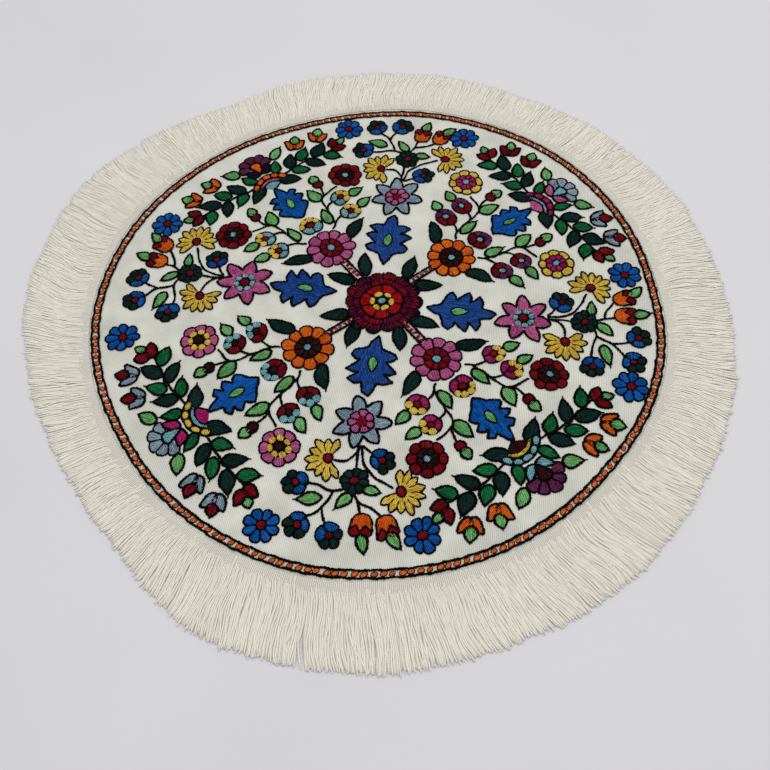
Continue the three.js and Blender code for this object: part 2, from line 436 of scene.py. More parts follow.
def placing(turn, shift=0.0, stretch=1.0, lean=0.0, flip=False):
    # A window on the pattern with the motif group's axis along +y: leaned about y = 100 and shifted,
    # mirrored, turned about the middle of the pattern, and laid on the cloth with it.
    turned = towards(turn)

    def lay(points):
        points = np.asarray(points, complex)
        x = points.real + shift + lean * (points.imag - 100)
        y = points.imag * stretch
        spot = ((-x if flip else x) + 1j * y) * turned
        return (spot + handWobble(spot)) * towards(pattern["turn"]) + pattern["centre"]

    return lay


def shares(start, end, count):
    # Middles of equal shares of the angle from start to end.
    return start + (end - start) * (np.arange(count) + 0.5) / count


def ringOf(count, start=0.0):
    return start + 360 * np.arange(count) / count


def asPoints(table):
    return np.array([complex(x, y) for x, y in table])


def mirrored(spot, side):
    return -spot.conjugate() if side < 0 else spot


def outward(degrees, side):
    return 180 - degrees if side < 0 else degrees


def smoothPath(points, steps=6, closed=False):
    # Catmull-Rom curve through the points.
    points = np.asarray(points, complex)
    if closed:
        knots = np.concatenate([points[-1:], points, points[:2]])
    else:
        knots = np.concatenate([[2 * points[0] - points[1]], points, [2 * points[-1] - points[-2]]])
    t = np.linspace(0, 1, steps, endpoint=False)[None]
    curve = curveBetween(*(knots[i:len(knots) - 3 + i, None] for i in range(4)), t).ravel()
    return curve if closed else np.append(curve, points[-1])


def stitchLine(lay, path, half, closed=False, lift=0.0):
    path = lay(path)
    if closed:
        path = np.append(path, path[:2])
    lines.append({"path": path, "half": half, "lift": lift})


def fill(lay, colour, shape, grain, edge="edge", edgePath=None, padding=1.0, lift=0.0):
    # A filled shape with stitches along its grain, and a black line around it. What lies on top of other
    # stitches is lifted.
    middle = np.mean(shape)
    reach = 9 * towards(grain)
    cells.append({
        "colour": colour,
        "shape": lay(shape),
        "grain": unit(lay(middle + reach) - lay(middle - reach)),
        "padding": padding,
        "lift": lift,
    })
    if edge:
        closed = edgePath is None
        stitchLine(lay, shape if closed else edgePath, pattern[edge], closed, lift)


def leafShape(spot, length, width, direction, bend=0.0):
    # Almond: half width * sin(pi s^0.78)^0.85 to both sides of a spine that bows by bend, s from base to tip.
    s = np.linspace(0, 1, 13)
    spine = (s - 0.5) * length + 1j * bend * length * np.sin(np.pi * s)
    side = 1j * width / 2 * np.maximum(np.sin(np.pi * s ** 0.78), 0) ** 0.85
    return spot + np.concatenate([spine + side, (spine - side)[-2:0:-1]]) * towards(direction)


def leaf(lay, colour, spot, length, width, direction, bend=0.0, spur=1.8, edge="edge", lift=0.0):
    # A leaf, with the black line running on as a short spur at its tip.
    fill(lay, colour, leafShape(spot, length, width, direction, bend), direction, edge, lift=lift)
    if spur:
        tip = spot + length / 2 * towards(direction)
        stitchLine(lay, tip + np.array([-1.5, spur]) * towards(direction), pattern["fine"])


def sideLeaf(lay, side, colour, spot, length, width, direction, bend=0.0, spur=1.8):
    # A leaf of a symmetrical group: side -1 mirrors it.
    leaf(lay, colour, mirrored(spot, side), length, width, outward(direction, side), bend * side, spur)


def petalShape(centre, inner, outer, direction, halfAngle, valley, roundness, tip):
    # Straight sides from the inner radius to the valley, then a lobe: the valley's radius + what is left
    # * (1 - |a|^roundness)^tip over a from -1 to 1 half angle. A roundness of 1 gives a point.
    a = np.linspace(-1, 1, 13)
    low = inner + (outer - inner) * valley
    radius = low + (outer - low) * (1 - np.abs(a) ** roundness) ** tip
    a = np.concatenate([[-1], a, [1]])
    radius = np.concatenate([[inner], radius, [inner]])
    return centre + radius * towards(direction + a * halfAngle)


def petals(lay, colour, centre, inner, outer, directions, halfAngle, valley=0.72, roundness=2.5, tip=0.5,
           edge="petal", lift=0.0):
    # Petals side by side: each one's line leaves out the side that its neighbour's line draws.
    for direction in directions:
        reach = inner + (outer - inner) * hand.uniform(0.93, 1.06)
        shape = petalShape(centre, inner, reach, direction, halfAngle, valley, roundness, tip)
        fill(lay, colour, shape, direction, edge, shape[:-1], lift=lift)


def joinedPetals(lay, colour, centre, inner, outer, directions, halfAngle, valley, roundness, tip):
    # Petals that run into each other, with one line round all their tips.
    contour = []
    for direction in directions:
        reach = inner + (outer - inner) * hand.uniform(0.92, 1.1)
        shape = petalShape(centre, inner, reach, direction, halfAngle, valley, roundness, tip)
        fill(lay, colour, shape, direction, None)
        contour.extend(shape[1:-2])
    stitchLine(lay, np.array(contour), pattern["edge"], closed=True, lift=0.1)


def disc(lay, colour, centre, radius, edge="fine", lift=0.25):
    circle = radius * towards(np.linspace(0, 360, 14, endpoint=False))
    fill(lay, colour, centre + circle, 90, edge, lift=lift)


def beads(lay, colour, centre, radius, size, directions, long, wide, lift):
    # Ovals of filling on a circle, long along the radius and wide across it.
    circle = towards(np.linspace(0, 360, 12, endpoint=False))
    oval = size * (long * circle.real + 1j * wide * circle.imag)
    for direction in directions:
        fill(lay, colour, centre + (radius + oval) * towards(direction), direction, None, lift=lift)


def bud(lay, centre, radius, direction, outer, inner, heart, outerCount=3, beaded=True):
    # Round bud: the half that faces the direction has small beads or petals, the other half two larger ones.
    split = 88
    outerPlaces = shares(direction - split, direction + split, outerCount)
    innerPlaces = shares(direction + split, direction + 360 - split, 2)
    disc(lay, "black", centre, radius * (0.92 if beaded else 0.8), "petal", lift=-0.1)
    petals(lay, inner, centre, radius * 0.25, radius, innerPlaces, (180 - split) / 2, 0.84)
    if beaded:
        size = radius * (0.33 if outerCount < 4 else 0.275)
        beads(lay, outer, centre, radius - size, size, outerPlaces, 1.15, 1.02, 0.25)
    else:
        petals(lay, outer, centre, radius * 0.3, radius * 1.1, outerPlaces, split / outerCount, 0.66, 1.7,
               0.6)
    disc(lay, heart, centre, radius * 0.32)


def toothedLeaf(lay, colour, centre, teeth, eye):
    # Large leaf: straight lines through the tips and notches down its right side, mirrored for the left, with
    # a small leaf in it. eye: height, length and width of that one.
    right = asPoints(teeth)
    left = -np.conj(right[-2:0:-1])
    fill(lay, colour, centre + np.concatenate([right, left]), 90)
    leaf(lay, "light_green", centre + eye[0] * 1j, eye[1], eye[2], 86, spur=0, edge="fine", lift=0.5)


# Right edges of the two toothed leaves, from the top down: x and y from the middle.
innerTeeth = [
    (1.2, 24), (3.6, 20), (4.6, 13.2), (9.5, 14.2), (15.2, 11.4), (10.8, 7.6), (8, 5), (12, 5.6),
    (17, 3.4), (13, -1), (9, -4.6), (12.6, -5), (16, -8.2), (13.4, -12), (8, -13.4), (4.6, -15), (3, -19),
    (0.6, -24.5),
]
outerTeeth = [
    (-0.6, 20.5), (2.4, 16), (4.4, 9.9), (8, 11.6), (12, 8.8), (9, 6.2), (7, 4.5), (10.8, 4.6),
    (13.9, 1.2), (11, -1.4), (8.4, -3.4), (11.2, -4.4), (12.9, -7.8), (9.6, -11.4), (5.6, -13.8), (3, -16.8),
    (0.8, -19.4),
]
# The flame tulip's crown and the crest behind it, base at the bottom.
tulipCrown = [
    (0, -7.3), (-4.1, -6), (-6.3, -2), (-6.5, 3.9), (-4.5, 2), (-3.1, 0.4), (-1.6, 2.4), (-0.2, 4.6),
    (1.2, 2), (2.6, -0.2), (4, 1.6), (6.4, 3.4), (6.3, -2), (4.1, -6),
]
tulipCrest = [
    (-5, -2), (-7, 2.6), (-7.1, 5.8), (-4.8, 8), (-1.9, 7.5), (-0.2, 6), (1.7, 7.6), (4.6, 8), (6.9, 5.8),
    (6.9, 2.6), (5, -2),
]


def fanFlower(lay, eye, start, end, count):
    # Half flower: pointed petals side by side with one line along their tips, and fine lines running in
    # from the valleys, round a red eye.
    half = (end - start) / count / 2
    ground = np.append(eye, eye + 8.5 * towards(np.linspace(start + half, end - half, 16)))
    fill(lay, "mustard", ground, (start + end) / 2, None, padding=0, lift=-0.15)
    edge = [eye + 2 * towards(start)]
    for step, direction in enumerate(shares(start, end, count)):
        reach = 15 + 1.1 * math.sin(2.4 * step)
        shape = petalShape(eye, 2, reach, direction, half, 0.64, 1.2, 0.8)
        fill(lay, "mustard", shape, direction, None, padding=1.3)
        edge.extend(shape[1:-1])
        valley = shape[-2] - eye
        stitchLine(lay, eye + valley * np.array([0.55, 1]), pattern["valley"], lift=0.1)
    edge.append(eye + 2 * towards(end))
    stitchLine(lay, np.array(edge), pattern["petal"])
    disc(lay, "red", eye, 3.2, "petal")


def flameTulip(lay, centre, direction):
    # Orange crown with three points, and a red crest of two lobes behind it.
    turned = towards(direction - 90)
    fill(lay, "red", centre + asPoints(tulipCrest) * turned, direction, "petal")
    stitchLine(lay, centre + np.array([-0.2 + 6j, -0.2 + 4j]) * turned, pattern["fine"])
    fill(lay, "orange", centre + asPoints(tulipCrown) * turned, direction, "petal", lift=0.25)


def cupTulip(lay, base, direction, cup, cap):
    # Two petals spread from the base and a shorter one stands between their tips.
    for side in (-1, 1):
        spot = base + towards(direction + side * 42) * 6.2
        leaf(lay, cup, spot, 12.8, 8, direction + side * 36, bend=-0.08 * side, spur=0)
    leaf(lay, cap, base + towards(direction) * 10.4, 9.8, 8.2, direction, spur=0.8, lift=0.15)


# An axis group, from its star's middle. Leaves: middle, length, width, direction. Buds: middle, radius,
# direction.
axisStems = [
    (1 + 17j, 2 + 32j),
    (2 + 17j, 0 + 23j, -5 + 28j, -12 + 29j),
    (3 + 17j, 6 + 29j, 14 + 37j, 27 + 43j),
    (4 + 17j, 8 + 20j, 12 + 22j),
    (-2 + 48j, -8 + 50j, -14 + 49j, -20 + 47j, -27 + 46.5j),
    (-9 + 50j, -12 + 57j, -16 + 64j, -23 + 69j),
    (-14 + 61j, -12 + 67j, -10 + 72j),
    (4 + 50j, 7 + 55j, 9 + 62j),
    (7 + 55j, 14 + 57j, 22 + 62j),
]
axisLeaves = [(-23.4 + 56.8j, 16, 8, 165), (-2 + 55.6j, 14, 7, 128), (14.2 + 46.3j, 12, 6.5, 5)]
axisBuds = [(17.5 + 25.2j, 7.9, 20), (-33.6 + 47.8j, 8, 185), (-26.7 + 74.8j, 8, 130), (-6.5 + 78.3j, 8, 50)]


def axisGroup(lay, star, petalColour, ringColour, ringBeads, blueFlowers):
    # One of the four groups that hold a star: a sprig of leaves, buds and tulips grows out from it.
    def fromStar(points):
        return lay(star + np.asarray(points))

    toothedLeaf(fromStar, "mid_blue", -43j, innerTeeth, (-1, 12.5, 6.2))
    for stem in axisStems:
        stitchLine(fromStar, smoothPath(stem), pattern["stem"])
    joinedPetals(fromStar, petalColour, 0, 5, 20, ringOf(7, -5), 360 / 14, 0.38, 1.15, 0.9)
    disc(fromStar, "black", 0, 8.9, None, lift=0.15)
    if ringBeads:
        beads(fromStar, ringColour, 0, 6, 2.3, ringOf(7, 10), 1.1, 1.0, 0.4)
    else:
        petals(fromStar, ringColour, 0, 2.6, 8.9, ringOf(7, 12), 360 / 14, 0.7, lift=0.4)
    disc(fromStar, "red", 0, 3.4, lift=0.45)
    for single in axisLeaves:
        leaf(fromStar, "light_green", *single)
    fanFlower(fromStar, 32.5 + 45j, -118, 152, 10)
    fanFlower(fromStar, -16.3 + 28.7j, 42, 300, 9)
    for single in axisBuds:
        bud(fromStar, *single, "dark_green", "royal_blue", "red", beaded=False)
    petals(fromStar, "dark_green", 2.6 + 41.7j, 2.2, 8.9, ringOf(8), 22.5, 0.74)
    disc(fromStar, "red", 2.6 + 41.7j, 2.7)
    flameTulip(fromStar, 11.3 + 69j, 88)
    leaf(fromStar, "light_green", 14 + 80.5j, 12.5, 7.6, 70)
    flameTulip(fromStar, 26.4 + 68.2j, 66)
    leaf(fromStar, "light_green", 32.6 + 76.6j, 13, 7.4, 44)
    for spot in blueFlowers:
        petals(fromStar, "royal_blue", spot, 2.8, 11.4, ringOf(8, 12), 22.5, 0.6, 2.1, 0.55)
        disc(fromStar, "red", spot, 3.1)


# A diagonal group to the right of its axis, from the middle of the pattern. Leaves: colour, middle, length,
# width, direction, bend, spur.
diagonalStems = [
    (12 + 78j, 16 + 82j, 19 + 93j, 21 + 105j, 24 + 110j, 30 + 112j, 38 + 112.5j),
    (16 + 82j, 20 + 84j, 25 + 85j),
    (19.5 + 96j, 22 + 99j, 27 + 101j),
    (25 + 110j, 26.5 + 114j, 28 + 120j),
    (8 + 151j, 20 + 151.5j, 30 + 152.5j, 45 + 151.5j, 60 + 150j),
]
sprigLeaves = [
    ("light_green", 14.8 + 91.5j, 15.5, 8.4, 82), ("light_green", 46 + 86j, 12.5, 7.6, 10),
    ("light_green", 47 + 99.6j, 12.5, 8, 5), ("light_green", 19.5 + 115.5j, 16, 9.6, 100),
]
garlandLeaves = [
    ("leaf_green", 12.4 + 161.4j, 14, 8, 62), ("dark_green", 25 + 159.6j, 16, 9.4, 56),
    ("leaf_green", 37 + 160j, 15, 9.4, 42), ("dark_green", 50.5 + 157j, 17, 10.4, 28),
    ("dark_green", 14.4 + 143.2j, 18, 9.6, -36), ("leaf_green", 27 + 146.6j, 15, 9, -35),
    ("dark_green", 41 + 146j, 17, 9.2, -58), ("leaf_green", 55.5 + 144.5j, 15, 9.4, -52),
    ("light_green", 20.5 + 175j, 14, 9, 33), ("red", 64.4 + 156.4j, 12, 8.4, 68, 0, 0),
    ("red", 65.4 + 148.6j, 12, 8.4, -22, 0, 0), ("light_green", 70.5 + 154.2j, 8.4, 6.4, 18, 0, 0),
]


def medallionArm(lay):
    # Two black lines, cream between them, and slanted red stitches.
    line = np.array([2.5 + 23j, 2.5 + 47j])
    band = np.array([-2.2 + 24.5j, 2.2 + 24.5j, 2.2 + 47j, -2.2 + 47j])
    fill(lay, "cream", band, 0, edge=None, padding=0.1)
    for step in range(5):
        spot = 1j * (29.5 + 3.7 * step) + hand.uniform(-0.4, 0.4)
        slant = leafShape(spot, 4.6 + hand.uniform(-0.8, 0.8), 3, 60 if step % 2 else 125)
        fill(lay, "red", slant, 90, edge=None, lift=0.3, padding=0.4)
    for path in (line, -np.conj(line)):
        stitchLine(lay, path, pattern["arm"], lift=0.2)


def sideFlower(lay, middle, colours):
    # Eight rounded petals round a ring of beads or of small petals.
    petals(lay, colours["sideFlower"], middle, 7.4, 13, ringOf(8, 10), 22.5, 0.66, 2.2, 0.5)
    if colours["sideBeads"]:
        disc(lay, "black", middle, 8.6, None, lift=0)
        beads(lay, colours["sideRing"], middle, 6, 2.2, ringOf(7, 10), 1.15, 1.1, 0.3)
        disc(lay, colours["sideHeart"], middle, 3, lift=0.3)
    else:
        disc(lay, "black", middle, 8.2, None, lift=0.05)
        petals(lay, colours["sideRing"], middle, 2.4, 7.8, ringOf(8, 30), 22.5, edge="fine", lift=0.25)
        disc(lay, colours["sideHeart"], middle, 2.7, lift=0.3)


def fan(lay, colours):
    # Half flower of one petal, a band and an arch of beads. The band and the arch are parts of rings.
    middle = 140.5j
    petals(lay, colours["fanBottom"], middle, 0.5, 9.6, [90], 57, 0.92, 3.0, 0.4)
    band, arch = (
        np.concatenate([inner * towards(np.linspace(start, 180 - start, 12)),
                        outer * towards(np.linspace(180 - start, start, 12))])
        for inner, outer, start in ((10, 12.7, 36), (13, 18, 27))
    )
    fill(lay, colours["fanMiddle"], middle + band, 0, edge="fine")
    fill(lay, "black", middle + arch, 0, "petal", lift=-0.1)
    beads(lay, colours["fanOuter"], middle, 15.5, 2.35, shares(28, 152, 5), 0.95, 1.24, 0.25)


def cornerFlower(lay, colours):
    # Five petals above two leaves, with a heart in the middle: a smooth closed curve.
    middle = 171j
    petals(lay, colours["corner"], middle, 4.5, 13.8, shares(-10, 190, 5), 20)
    for side in (-1, 1):
        sideLeaf(lay, side, colours["cornerBottom"], middle + 5.5 - 5.2j, 13, 7.2, 38, -0.08, 0)
    heart = np.array([4.2j, 4 + 2.4j, 3.4 - 1.8j, -8.4j, -3.4 - 1.8j, -4 + 2.4j])
    fill(lay, colours["cornerHeart"], middle + smoothPath(heart, 3, closed=True), 90, lift=0.25)


def diagonalGroup(lay, layArm, colours):
    # One of the four groups that hold a rosette: an arm, a sprig, a toothed leaf, a garland, a corner flower.
    rosette = 63j
    budColours = (colours["budOuter"], colours["budInner"], colours["budHeart"])
    medallionArm(layArm)
    for side in (-1, 1):
        sideLeaf(layArm, side, "dark_green", 10.5 + 33.5j, 20, 9.5, 57)
        sideLeaf(lay, side, "dark_green", 26 + 67.5j, 21, 9.5, 27, 0.05)
    for stem in diagonalStems:
        path = smoothPath(stem)
        stitchLine(lay, path, pattern["stem"])
        stitchLine(lay, -np.conj(path), pattern["stem"])
    petals(lay, colours["rosette"], rosette, 9, 17.8, ringOf(10, 8), 18, 0.64, 2.1, 0.5)
    disc(lay, "black", rosette, 9.6, None, lift=0.1)
    petals(lay, colours["rosetteRing"], rosette, 3, 9, ringOf(8), 22.5, edge="fine", lift=0.3)
    disc(lay, "pale_turquoise", rosette, 3, lift=0.4)
    bud(lay, 91j, 8.7, 90, *budColours, outerCount=4)
    for side in (-1, 1):
        for single in sprigLeaves:
            sideLeaf(lay, side, *single)
        bud(lay, mirrored(32.5 + 84j, side), 8, outward(25, side), *budColours)
        bud(lay, mirrored(34.3 + 101j, side), 7.8, outward(10, side), *budColours)
        disc(lay, colours["capBody"], mirrored(28.5 + 124.6j, side), 4, "edge", lift=0)
        sideLeaf(lay, side, "light_green", 28.5 + 131j, 9.5, 8.4, 90, spur=0)
        sideFlower(lay, mirrored(51.2 + 118.8j, side), colours)
        for single in garlandLeaves:
            sideLeaf(lay, side, *single)
        tulip = colours["tulipRight" if side > 0 else "tulipLeft"]
        cupTulip(lay, mirrored(35.6 + 169.6j, side), outward(58, side), *tulip)
        cupTulip(lay, mirrored(54.1 + 165.9j, side), outward(48, side), *tulip)
    toothedLeaf(lay, "royal_blue", 121.5j, outerTeeth, (-1, 12, 5.4))
    fan(lay, colours)
    cornerFlower(lay, colours)


# The medallion's two rows of lobes: lobes, direction of the first, middle radius, ribs in a lobe, rib
# length and width.
lobeRows = [(7, 100, 18.3, 7, 6.4, 2.1), (14, 6, 23.8, 4, 6.6, 2.2)]


def medallion(lay):
    # Scalloped lobes, each a fan of crimson ribs on a dark ground, in an outer and an inner row, then a ring
    # of scarlet petals and one of mustard ovals round the middle.
    middle = 0.3 - 1.6j
    disc(lay, "navy", middle, 24, None, lift=-0.15)
    for direction in ringOf(14, 6):
        lobe = petalShape(middle, 11, hand.uniform(25.2, 29.2), direction, 180 / 14, 0.7, 1.9, 0.6)
        fill(lay, "navy", lobe, direction, "edge", lobe[1:-1], padding=0.3, lift=0.1)
    for lobes, first, radius, ribs, length, width in lobeRows:
        half = 180 / lobes
        for number, direction in enumerate(ringOf(lobes, first)):
            for side in shares(-1, 1, ribs):
                reach = radius - 1.5 * side * side + hand.uniform(-0.3, 0.3)
                spot = middle + reach * towards(direction + 0.95 * half * side)
                along = direction + (half + 12) * side
                rib = leafShape(spot, length * hand.uniform(0.85, 1.1), width, along)
                fill(lay, "crimson" if number % 3 else "red", rib, along, None, padding=0.4, lift=0.4)
            parting = np.array([radius - length / 2, radius + length / 2 - 1.5])
            stitchLine(lay, middle + parting * towards(direction + half), pattern["fine"], lift=0.35)
    disc(lay, "black", middle, 14.4, None, lift=0.45)
    petals(lay, "scarlet", middle, 8.2, 15, ringOf(7, 74), 180 / 7, 0.8, lift=0.6)
    disc(lay, "black", middle, 8.6, None, lift=0.6)
    beads(lay, "mustard", middle, 6.3, 2.5, ringOf(6, 2), 0.95, 1.15, 0.85)
    disc(lay, "pale_turquoise", middle, 3.1, "petal", lift=0.8)


# Axis groups: turn, mirrored, star, star colour, ring colour, beads in the ring, middles of the blue flowers.
axisGroups = [
    (180, True, 2 + 99j, "grey_blue", "pink", False, (-48 + 78j, 49 + 70.5j)),
    (-90, True, -3 + 100j, "pink", "pale_turquoise", True, (-46 + 73j, 48 + 69j)),
    (90, False, 3 + 101j, "pink", "pale_turquoise", True, (-59 + 73j, 47 + 72j)),
    (0, False, -4 + 100j, "grey_blue", "pink", False, (-50 + 70j, 45 + 71j)),
]
# Diagonal groups, one in each column: turn, shift of the axis, stretch along it, lean, and colours.
orangeTulip, greyTulip, redTulip = ("orange", "light_green"), ("grey_blue", "red"), ("red", "light_green")
diagonalGroups = {
    "turn": (45, -45, -135, 135),
    "shift": (-1.5, -0.5, 0.0, -3.0),
    "stretch": (0.982, 1.0, 0.992, 1.018),
    "lean": (0.0, 0.0, 0.0, -0.03),
    "rosette": ("pink", "orange", "pink", "orange"),
    "rosetteRing": ("red", "maroon", "red", "maroon"),
    "budOuter": ("mustard", "purple", "mustard", "pale_turquoise"),
    "budInner": ("pale_turquoise", "red", "magenta", "red"),
    "budHeart": ("red", "pale_turquoise", "red", "maroon"),
    "sideFlower": ("red", "mustard", "red", "pink"),
    "sideRing": ("maroon", "magenta", "maroon", "mustard"),
    "sideHeart": ("pale_turquoise", "pale_turquoise", "pale_turquoise", "maroon"),
    "sideBeads": (False, False, False, True),
    "capBody": ("red", "red", "red", "maroon"),
    "fanBottom": ("pale_turquoise", "pink", "maroon", "magenta"),
    "fanMiddle": ("pink", "grey_blue", "mustard", "pale_turquoise"),
    "fanOuter": ("orange", "magenta", "pale_turquoise", "mustard"),
    "corner": ("purple", "grey_blue", "purple", "grey_blue"),
    "cornerHeart": ("orange", "pale_turquoise", "maroon", "pale_turquoise"),
    "cornerBottom": ("navy", "pink", "pale_turquoise", "magenta"),
    "tulipRight": (orangeTulip, greyTulip, orangeTulip, greyTulip),
    "tulipLeft": (orangeTulip, redTulip, orangeTulip, greyTulip),
}


def drawPattern():
    medallion(placing(0))
    for turn, flip, *chosen in axisGroups:
        axisGroup(placing(turn, flip=flip), *chosen)
    for number in range(4):
        chosen = {name: row[number] for name, row in diagonalGroups.items()}
        lay = placing(chosen["turn"], chosen["shift"], chosen["stretch"], chosen["lean"])
        diagonalGroup(lay, placing(chosen["turn"], pattern["armShift"]), chosen)


# Filling stitches. The three values in a row are for the start, middle and end of a stitch.
filling = {
    "rowPitch": 1.0,
    "length": 3.8,
    "shortest": 1.4,  # shorter rows are left out
    "overlap": 0.3,  # how far stitches in a row run past each other
    "inset": 0.2,  # how far they end inside their outline
    "cutStray": 0.16,  # unevenness of the cuts, as a share of a stitch
    "sway": 0.1,  # how far the ends stray from their row
    "padding": 0.4,  # how far a filled shape domes up in its middle
    "halfWidth": 0.7,
    "halfHeight": 0.36,
    "thick": (0.9, 1.12),  # least and most that a stitch is scaled by
    "places": (0.1, 0.5, 0.9),
    "lift": (0.1, 0.17, 0.1),
    "widths": (0.95, 1.0, 0.95),
    "heights": (0.9, 1.0, 0.9),
    "tip": (0.35, 0.12),  # how far the ends reach on and down
    "cellTone": (0.25, 0.75),  # least and most tone of a shape
    "toneSpread": 0.28,  # how far single stitches stray from it
}
# Stem stitches of the black lines.
stemming = {
    "step": 2.2,  # from one stitch to the next
    "length": 3.7,
    "shortest": 0.5,  # shorter ones, at the ends of lines, are left out
    "stray": 0.2,
    "slant": 0.25,  # how far a stitch starts and ends beside the line, as a share of its half width
    "thick": (0.8, 1.22),
    "halfHeight": 0.55,  # for a half width of 1, and with its square root
    "places": (0.2, 0.5, 0.8),
    "lift": (-0.05, 0.12, 0.05),
    "allLift": 0.38,
    "widths": (1, 1.15, 1),
    "heights": (0.8, 1, 0.8),
    "tip": (0.7, 0.2),
    "toneSpread": 0.25,
}


def scanRows(cell):
    # The shape is turned until its grain lies along x. Each row's crossings with the edges, in order,
    # pair up as the starts and ends of the runs inside.
    turned = cell["shape"] / cell["grain"]
    x, y = turned.real, turned.imag
    nextX, nextY = np.roll(x, -1), np.roll(y, -1)
    low = y.min() + filling["inset"]
    tall = y.max() - filling["inset"] - low
    count = max(1, round(tall / filling["rowPitch"]))
    rows = low + (np.arange(count) + 0.5) * tall / count
    crossing = (y[None] <= rows[:, None]) != (nextY[None] <= rows[:, None])
    rise = np.where(nextY == y, 1.0, nextY - y)
    place = np.where(crossing, x + (rows[:, None] - y) * (nextX - x) / rise, np.inf)
    place.sort(axis=1)
    if place.shape[1] % 2:
        place = np.column_stack([place, np.full(count, np.inf)])
    start, end = place[:, 0::2], np.where(np.isinf(place[:, 1::2]), -np.inf, place[:, 1::2])
    inside = end - start > filling["shortest"]
    row = np.broadcast_to(np.arange(count)[:, None], start.shape)[inside]
    return start[inside], end[inside], rows[row], row, (2 * (row + 0.5) / count - 1)


def cutStitches(chosen, rng):
    # Runs are cut into stitches of about one length, odd rows half a stitch out of step. The dome is
    # (1 - across^2) * (1 - 0.8 along^2), from -1 to 1 over the shape.
    found = [scanRows(cell) for cell in chosen]
    start, end, level, row, across = (np.concatenate([f[i] for f in found]) for i in range(5))
    owner = np.repeat(np.arange(len(chosen)), [len(f[0]) for f in found])
    start = start + filling["inset"]
    length = end - filling["inset"] - start
    whole = np.maximum(1, np.rint(length / filling["length"])).astype(int)
    odd = (row % 2) * (whole > 1)
    pieces = whole + odd
    run = np.repeat(np.arange(len(start)), pieces)
    order = np.arange(len(run)) - (np.cumsum(pieces) - pieces)[run]
    cut = np.arange(len(run)) + run  # one more cut than stitches in each run
    stray = rng.uniform(-filling["cutStray"], filling["cutStray"], len(run) + len(start))
    follows, leads = order > 0, order + 1 < pieces[run]
    low = np.clip((order - 0.5 * odd[run] + stray[cut] * follows) / whole[run], 0, 1)
    high = np.clip((order + 1 - 0.5 * odd[run] + stray[cut + 1] * leads) / whole[run], 0, 1)
    grain, padding, lift = (np.array([cell[key] for cell in chosen])[owner][run]
                            for key in ("grain", "padding", "lift"))
    sway = rng.uniform(-filling["sway"], filling["sway"], (2, len(run)))
    before, after = filling["overlap"] * follows, filling["overlap"] * leads
    heads = (start[run] + low * length[run] - before + 1j * (level[run] + sway[0])) * grain
    feet = (start[run] + high * length[run] + after + 1j * (level[run] + sway[1])) * grain
    along = low + high - 1
    dome = lift + padding * filling["padding"] * (1 - across[run] ** 2) * (1 - 0.8 * along ** 2)
    tone = rng.uniform(*filling["cellTone"], len(chosen))[owner][run]
    tone = np.clip(tone + rng.normal(0, filling["toneSpread"], len(run)), 0, 1)
    return heads, feet, dome, tone


def addStitches(name, colour, chosen, seed):
    # Each stitch is a short arch: three station rings of three sides, deep ends, and a dome under it.
    rng = np.random.default_rng(seed)
    heads, feet, dome, tone = cutStitches(chosen, rng)
    path = heads[:, None] + (feet - heads)[:, None] * np.array(filling["places"])
    thick = rng.uniform(*filling["thick"], (len(heads), 1))
    height = groundAt(path) + dome[:, None] + np.array(filling["lift"])
    wide = filling["halfWidth"] * thick * np.array(filling["widths"])
    tall = filling["halfHeight"] * thick * np.array(filling["heights"])
    addYarns(name, wools[colour], tone[:, None], path, height, wide, tall, tip=filling["tip"])


def addLines(name, colour, chosen, seed):
    # Stem stitch: every stitch starts to one side of the line a step after the last, and ends to the other.
    # The lines are laid end to end, far apart, so that one distance finds a point on any of them.
    rng = np.random.default_rng(seed)
    paths = [line["path"] for line in chosen]
    apart = 50.0
    steps = [np.abs(np.diff(path)) for path in paths]
    lengths = np.array([step.sum() for step in steps])
    offsets = np.concatenate([[0], np.cumsum(lengths + apart)[:-1]])
    mileage = np.concatenate([offset + np.concatenate([[0], np.cumsum(step)])
                              for offset, step in zip(offsets, steps)])
    allPoints = np.concatenate(paths)
    counts = np.maximum(1, np.rint(lengths / stemming["step"])).astype(int)
    line = np.repeat(np.arange(len(paths)), counts)
    order = np.arange(counts.sum()) - (np.cumsum(counts) - counts)[line]
    stray = rng.uniform(-stemming["stray"], stemming["stray"], len(line))
    start = order * lengths[line] / counts[line] + stray
    places = np.array(stemming["places"])
    at = start[:, None] + stemming["length"] * (places - places[0])
    at = np.clip(at, 0, lengths[line][:, None]) + offsets[line][:, None]

    def pointAt(mile):
        return np.interp(mile, mileage, allPoints.real) + 1j * np.interp(mile, mileage, allPoints.imag)

    low = offsets[line][:, None]
    high = (offsets + lengths)[line][:, None]
    tangent = unit(pointAt(np.minimum(at + 0.3, high)) - pointAt(np.maximum(at - 0.3, low)))
    half = np.array([entry["half"] for entry in chosen])[line][:, None]
    half = half * rng.uniform(*stemming["thick"], (len(line), 1))
    path = pointAt(at) + 1j * tangent * (stemming["slant"] * half * np.array([1, 0, -1]))
    kept = np.abs(path[:, -1] - path[:, 0]) > stemming["shortest"]
    path, half, line = path[kept], half[kept], line[kept]
    lift = np.array([entry["lift"] for entry in chosen])[line][:, None]
    height = groundAt(path) + lift + stemming["allLift"] + np.array(stemming["lift"])
    wide = half * np.array(stemming["widths"])
    tall = stemming["halfHeight"] * half ** 0.5 * np.array(stemming["heights"])
    tone = np.clip(0.5 + rng.normal(0, stemming["toneSpread"], len(path)), 0, 1)
    addYarns(name, wools[colour], tone[:, None], path, height, wide, tall, tip=stemming["tip"], turn=-0.5)


